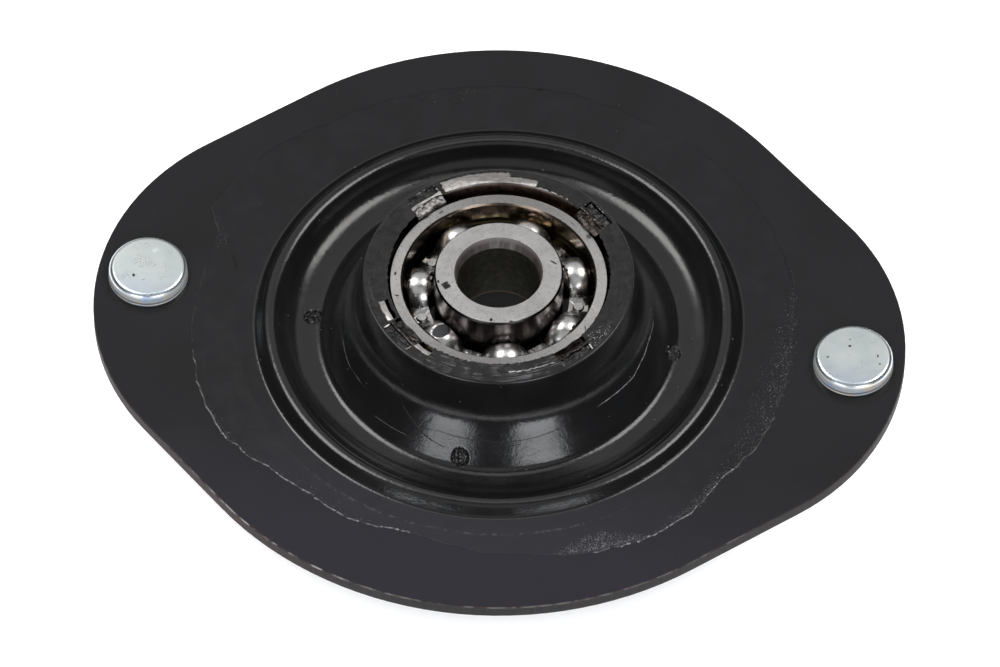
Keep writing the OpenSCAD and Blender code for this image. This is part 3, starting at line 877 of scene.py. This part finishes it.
def film_crumbs(finish):
    """Crumbs of torn rubber stuck to the film and the plate beside it."""
    bm = bmesh.new()
    draw = random.Random(GRAIN_SEED)
    for low, high, inset_low, inset_high, batches in CRUMB_FIELDS:
        for _ in range(batches):
            batch = bmesh.new()
            for _ in range(CRUMB_BATCH):
                share = draw.triangular(0, 1, 0.55)
                degrees = low + (high - low) * share
                reach = (inset_high - inset_low) * (1 - (2 * share - 1) ** 2)
                r = film_edge_r(degrees % 360) - inset_low - reach * draw.triangular(0, 1, 0.2)
                size = draw.uniform(0.018, 0.048)
                place = Matrix.Translation(polar(r, degrees, PLATE_TOP + FILM_T) * MM)
                shape = Matrix.Diagonal((draw.uniform(0.7, 1.8), draw.uniform(0.7, 1.3), 0.6, 1))
                turn = Matrix.Rotation(draw.uniform(0, math.pi), 4, "Z")
                bmesh.ops.create_icosphere(batch, subdivisions=1, radius=size * MM,
                                           matrix=place @ turn @ shape)
            add_to(bm, batch)
    new_piece("film_crumbs", bm, [finish], "mount")


# Rubber skin on the cup's rim: directions and inner radius, then the places where it is rubbed off
SKIN_EDGE = ((0, 16.05), (40, 16.2), (62, 17.05), (125, 17.05), (145, 16.15), (180, 15.95), (205, 16.0),
             (235, 16.1), (250, 16.1), (312, 16.1), (335, 16.0), (360, 16.05))
SKIN_IN_R = 15.7
SKIN_OUT_R = 19.3
SKIN_CELL = 0.11
SKIN_T = 0.07
BARE_PATCHES = ((94, 126, 17.0, 18.94), (81, 94, 17.0, 18.2), (205, 217, 16.5, 17.9),
                (233, 245, 16.2, 17.7), (284, 306, 17.45, 17.7))

# Staked tabs: their directions, those with a grimy top, and where that top lies
TAB_DIRECTIONS = (46.9, 136.9, 226.9, 316.9)
GRIMY_TABS = (46.9, 226.9, 316.9)
TAB_TOP_R = 16.95
TAB_TOP_HALF = (0.85, 2.75)
TAB_IN_R = 15
TAB_OUT_R = 18.98
TAB_FOOT_Z = 11.3
TAB_MIDDLE_Z = 12.2
# Height above which the cup's edges are broken, and by how much
STAKED_Z = 11.5
STAKED_BEVEL = 0.09
# Notches behind the tabs, and the rubber in them: middle radius, size across and along, and drop
NOTCH_HALF_W = 2.6
NOTCH_OUT_R = 18.95
NOTCH_RUBBER_R = 18.2
NOTCH_RUBBER_SIZE = (1.45, 5.3)
NOTCH_RUBBER_DROP = 0.30
NOTCH_RUBBER_T = 0.12


def near_tab(point, spare):
    """True at a staked tab or its notch, within its width and a little to spare."""
    degrees, r = direction_of(point), point.xy.length / MM
    for tab in TAB_DIRECTIONS:
        turn = math.radians(degrees - tab)
        if abs(r * math.sin(turn)) < NOTCH_HALF_W + spare and math.cos(turn) > 0 and r > TAB_IN_R:
            return True
    return False


def skin_covers(point):
    """True where the rim keeps its rubber skin."""
    degrees, r = direction_of(point), point.xy.length / MM
    fray = 0.18 * noise.noise(polar(r, degrees) * 1.7) + 0.08 * noise.noise(polar(r, degrees) * 5)
    if r + fray < between(SKIN_EDGE, degrees):
        return False
    for low, high, from_r, to_r in BARE_PATCHES:
        if low < degrees + 6 * fray < high and from_r < r + fray < to_r:
            return False
    return r > NOTCH_OUT_R + fray or not near_tab(point, fray)


def rim_skin(finish):
    """Thin rubber skin on the cup's rim, frayed at its inner edge and rubbed off in places."""
    bm = bmesh.new()
    width = SKIN_OUT_R - SKIN_IN_R
    count = math.ceil(width / SKIN_CELL)
    turned(bm, [(SKIN_IN_R + width * k / count, RIM_Z) for k in range(count + 1)], steps=960)
    bare = [face for face in bm.faces if not skin_covers(face.calc_center_median())]
    bmesh.ops.delete(bm, geom=bare, context="FACES")
    bmesh.ops.smooth_vert(bm, verts=[v for v in bm.verts if v.is_boundary], factor=0.5,
                          use_axis_x=True, use_axis_y=True)
    thicken(bm, SKIN_T)
    new_piece("rim_skin", bm, [finish], "mount")


# Places in the noise from which a dent's three parts are taken
DENT_SHIFTS = (Vector((3.1, 0.0, 7.4)), Vector((17.6, 5.2, 1.3)), Vector((8.5, 23.7, 11.9)))


def dent_noise(place):
    """Noise vector at a place, the same on every run."""
    return Vector([noise.noise(place + shift) for shift in DENT_SHIFTS])


def tab_faces(bm):
    """Faces of the staked tabs and of the notches they were cut from."""
    middles = [(face, face.calc_center_median()) for face in bm.faces]
    return [face for face, middle in middles if near_tab(middle, 0.3)
            and middle.z > TAB_FOOT_Z * MM and middle.xy.length < TAB_OUT_R * MM]


def staked_cup(finish, scraped, tabs):
    """The bearing's cup with crumpled tabs and notches and bright scraped edges."""
    bm = merged_copy("bearing_housing", join_flat=True)
    sharp = [e for e in bm.edges if e.is_manifold and e.calc_face_angle() > 0.6
             and max(v.co.z for v in e.verts) > STAKED_Z * MM]
    made = bmesh.ops.bevel(bm, geom=sharp, offset=STAKED_BEVEL * MM, offset_type="OFFSET", segments=2,
                           profile=0.5, affect="EDGES", material=-1, clamp_overlap=True)
    for face in tab_faces(bm):
        face.material_index = 2
    for face in made["faces"]:
        face.material_index = 1 if near_tab(face.calc_center_median(), 0.4) else 0
    bmesh.ops.triangulate(bm, faces=tab_faces(bm))
    for _ in range(2):
        bmesh.ops.subdivide_edges(bm, edges=edges_of(tab_faces(bm), 0.25), cuts=1, use_grid_fill=True)
    for vert in dict.fromkeys(v for f in tab_faces(bm) for v in f.verts):
        if vert.co.xy.length < NOTCH_OUT_R * MM and vert.co.z < RIM_Z * MM + MERGE:
            place = vert.co / MM
            dent = dent_noise(place * 1.3) * 0.20 + dent_noise(place * 3.1) * 0.12
            dent.z = min(dent.z, 0.0) if place.z > TAB_MIDDLE_Z else max(dent.z, 0.0)
            vert.co += dent * MM
    bmesh.ops.recalc_face_normals(bm, faces=bm.faces)
    new_piece("staked_cup", bm, [finish, scraped, tabs], "mount", ["bearing_housing"],
              sharp=30)


def notch_rubber(finish):
    """Crumpled rubber squeezed into the notches behind the tabs."""
    bm = bmesh.new()
    for tab in TAB_DIRECTIONS:
        patch = bmesh.new()
        bmesh.ops.create_grid(patch, x_segments=12, y_segments=36, size=0.5)
        for vert in patch.verts:
            r = NOTCH_RUBBER_R + vert.co.x * NOTCH_RUBBER_SIZE[0]
            along = vert.co.y * NOTCH_RUBBER_SIZE[1]
            edge = max(abs(vert.co.x), abs(vert.co.y)) * 2
            here = Vector((r, along, tab))
            crumple = 0.55 * noise.noise(here * 1.6) + 0.35 * noise.noise(here * 3.7)
            z = RIM_Z - NOTCH_RUBBER_DROP + 0.42 * crumple - 2 * max(0.0, edge - 0.9)
            vert.co = Vector((r, along + 0.25 * crumple, min(z, RIM_Z + 0.10))) * MM
        bmesh.ops.rotate(patch, verts=patch.verts, cent=(0, 0, 0),
                         matrix=Matrix.Rotation(math.radians(tab), 3, "Z"))
        bmesh.ops.recalc_face_normals(patch, faces=patch.faces)
        bmesh.ops.solidify(patch, geom=patch.faces[:], thickness=NOTCH_RUBBER_T * MM)
        bmesh.ops.recalc_face_normals(patch, faces=patch.faces)
        add_to(bm, patch)
    new_piece("notch_rubber", bm, [finish], "mount", sharp=60)


# The dulled flat on a hump of the cage: its middle, its half sizes out and round, and its depth
FLAT_DIRECTION = 233.3
FLAT_MIDDLE = polar(11.41, FLAT_DIRECTION)
FLAT_HALF = (1.55, 1.25)
FLAT_DEPTH = 0.30
FLAT_SLOPE = 0.10
HUMP_R = 2.6
HUMP_Z = 9.1


def on_hump(point):
    """True on the hump that has the flat."""
    return (point.xy / MM - FLAT_MIDDLE.xy).length < HUMP_R and point.z > HUMP_Z * MM


def flat_place(point):
    """Place of a point on the flat, out and round, in half sizes."""
    away = point.xy / MM - FLAT_MIDDLE.xy
    out = polar(1, FLAT_DIRECTION)
    return away.dot(out.xy) / FLAT_HALF[0], away.dot(Vector((-out.y, out.x))) / FLAT_HALF[1]


def riveted_cage(finish, dulled):
    """The cage's upper half, with the flat that is rubbed on one of its humps."""
    bm = merged_copy("upper_cage")
    for _ in range(3):
        hump = [f for f in bm.faces if on_hump(f.calc_center_median())]
        bmesh.ops.subdivide_edges(bm, edges=edges_of(hump, 0.12), cuts=1, use_grid_fill=True)
    top = max(v.co.z for v in bm.verts)
    for vert in bm.verts:
        u, v = flat_place(vert.co)
        if on_hump(vert.co) and vert.normal.z > 0.2 and u * u + v * v < 1:
            vert.co.z = min(vert.co.z, top - (FLAT_DEPTH - FLAT_SLOPE * v) * MM)
    for face in bm.faces:
        centre = face.calc_center_median()
        u, v = flat_place(centre)
        rubbed = on_hump(centre) and face.normal.z > 0.3 and u * u + v * v < 0.85
        face.material_index = 1 if rubbed else 0
    new_piece("riveted_cage", bm, [finish, dulled], "cage", ["upper_cage"], sharp=40)


# Camera, light and floor

# Where the camera stands, seen from the origin, and how the photo is framed
CAMERA_AZIMUTH = 9.196
CAMERA_ELEVATION = 52.55
CAMERA_DISTANCE = 1.2
FOCAL_PIXELS = 8267
IMAGE_W = 1000
IMAGE_SHIFT = (1.35, -3.5)


def heading(azimuth, elevation):
    """Unit vector from the part towards a direction, with azimuth 0 in front and 90 on the right."""
    a, e = math.radians(azimuth), math.radians(elevation)
    return Vector((math.sin(a) * math.cos(e), -math.cos(a) * math.cos(e), math.sin(e)))


def add_camera():
    data = bpy.data.cameras.new("camera")
    data.sensor_width = 36
    data.lens = FOCAL_PIXELS / IMAGE_W * data.sensor_width
    data.shift_x = IMAGE_SHIFT[0] / IMAGE_W
    data.shift_y = IMAGE_SHIFT[1] / IMAGE_W
    data.clip_start = 0.05
    data.clip_end = 20
    camera = bpy.data.objects.new("camera", data)
    bpy.context.scene.collection.objects.link(camera)
    back = heading(CAMERA_AZIMUTH, CAMERA_ELEVATION)
    camera.location = back * CAMERA_DISTANCE
    camera.rotation_euler = back.to_track_quat("Z", "Y").to_euler()
    bpy.context.scene.camera = camera


# Lines that the height of a soft box can follow
UPRIGHT = Vector((0, 0, 1))
FRONT_TO_BACK = Vector((0, 1, 0))
# Soft boxes: name, azimuth, elevation, width and height in metres, line of the height, power, colour,
# and whether they show in gloss and light dull surfaces
SOFT_BOXES = (
    ("back_left_box", -117.6, 62, 0.34, 0.46, FRONT_TO_BACK, 3.4, (1.0, 0.99, 0.97), True, True),
    ("back_right_box", 122.7, 60, 0.36, 0.46, FRONT_TO_BACK, 3.6, (1.0, 0.99, 0.97), True, True),
    ("front_left_box", -22, 23, 0.40, 0.48, UPRIGHT, 3.1, (0.94, 0.96, 1.0), True, True),
    ("front_right_box", 33, 24, 0.40, 0.48, UPRIGHT, 3.6, (0.94, 0.96, 1.0), True, True),
    ("front_ceiling", 0, 62, 1.2, 0.55, UPRIGHT, 1.1, (1.0, 1.0, 1.0), True, False),
    ("top_strip", 180, 79, 0.36, 0.36, FRONT_TO_BACK, 0.5, (1.0, 1.0, 1.0), True, True),
    ("backdrop", -165, 46, 1.3, 0.8, UPRIGHT, 2.0, (1.0, 1.0, 1.0), True, False),
    ("overhead_fill", 180, 74, 1.2, 1.2, UPRIGHT, 6.5, (1.0, 1.0, 1.0), False, True),
    ("front_fill", 9, 42, 1.8, 0.5, UPRIGHT, 11.5, (0.97, 0.98, 1.0), False, True),
)
BOX_DISTANCE = 1.0


def add_lights():
    for name, azimuth, elevation, width, height, line, power, colour, in_gloss, on_dull in SOFT_BOXES:
        data = bpy.data.lights.new(name, "AREA")
        data.shape = "RECTANGLE"
        data.size = width
        data.size_y = height
        data.energy = power
        data.color = colour
        lamp = bpy.data.objects.new(name, data)
        lamp.visible_glossy = in_gloss
        lamp.visible_diffuse = on_dull
        bpy.context.scene.collection.objects.link(lamp)
        towards = heading(azimuth, elevation)
        across = line.cross(towards).normalized()
        lamp.location = towards * BOX_DISTANCE
        lamp.rotation_euler = Matrix((across, towards.cross(across), towards)).transposed().to_euler()
    world = bpy.data.worlds.new("studio")
    world.use_nodes = True
    world.node_tree.nodes["Background"].inputs["Color"].default_value = (0.9, 0.95, 1.0, 1)
    world.node_tree.nodes["Background"].inputs["Strength"].default_value = 0.06
    bpy.context.scene.world = world


def add_floor():
    bm = bmesh.new()
    bmesh.ops.create_grid(bm, x_segments=1, y_segments=1, size=3)
    bmesh.ops.translate(bm, verts=bm.verts, vec=(0, 0, stud_low.z * MM))
    mesh = bpy.data.meshes.new("floor")
    bm.to_mesh(mesh)
    bm.free()
    f = Finish("floor_white", Specular_IOR_Level=0.0)
    white = f.mix(f.noise(300, 2), (0.90, 0.90, 0.90), (0.93, 0.93, 0.93))
    # The floor's colour is darker under the part, a painted shadow, and greyer far off
    shaded = f.mix(f.ramp(f.radius, 36, 26), white, (0.30, 0.30, 0.30))
    f.paint(f.mix(f.ramp(f.radius, 130, 600), shaded, (0.5, 0.5, 0.5)), 0.6)
    # Painted light: the floor glows in a ring round the part, clearing the part's shadow there, and the
    # glow fades far off
    f.put("Emission Color", white)
    lit = f.times(f.ramp(f.radius, 36, 48), f.ramp(f.radius, 600, 100))
    f.put("Emission Strength", f.times(lit, 0.5))
    mesh.materials.append(f.material)
    floor = bpy.data.objects.new("floor", mesh)
    bpy.context.scene.collection.objects.link(floor)


def give(node, finish):
    """Puts a finish on a CAD node that keeps its own shape."""
    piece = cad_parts[node]
    if not piece.material_slots:
        piece.data.materials.append(finish)
    for material_slot in piece.material_slots:
        material_slot.material = finish


add_camera()
add_lights()
add_floor()
bpy.context.scene.view_settings.view_transform = "Standard"

mounting_plate(plate_coating(), sheared_edge(), worn_highlit_edge())
stud_pair(zinc_plating())
rubber = moulded_rubber()
flash = torn_flash()
skin = rim_rubber()
rubber_moulding(rubber)
rubber_lines("mould_lines", RUBBER_LINES, rubber)
rubber_lines("hub_scratches", RUBBER_SCRATCHES, flash)
flash_film(rubber_film(), flash, rubber)
film_crumbs(flash)
rim_skin(skin)
staked_cup(cup_steel(), scraped_steel(), tab_steel())
notch_rubber(skin)
cage = cage_steel()
riveted_cage(cage, dulled_steel())
give("lower_cage", cage)
give("cage_rivets", cage)
give("outer_ring", outer_ring_steel())
give("inner_ring", inner_ring_steel())
balls = ball_steel()
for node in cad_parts:
    if node.startswith("ball_"):
        give(node, balls)
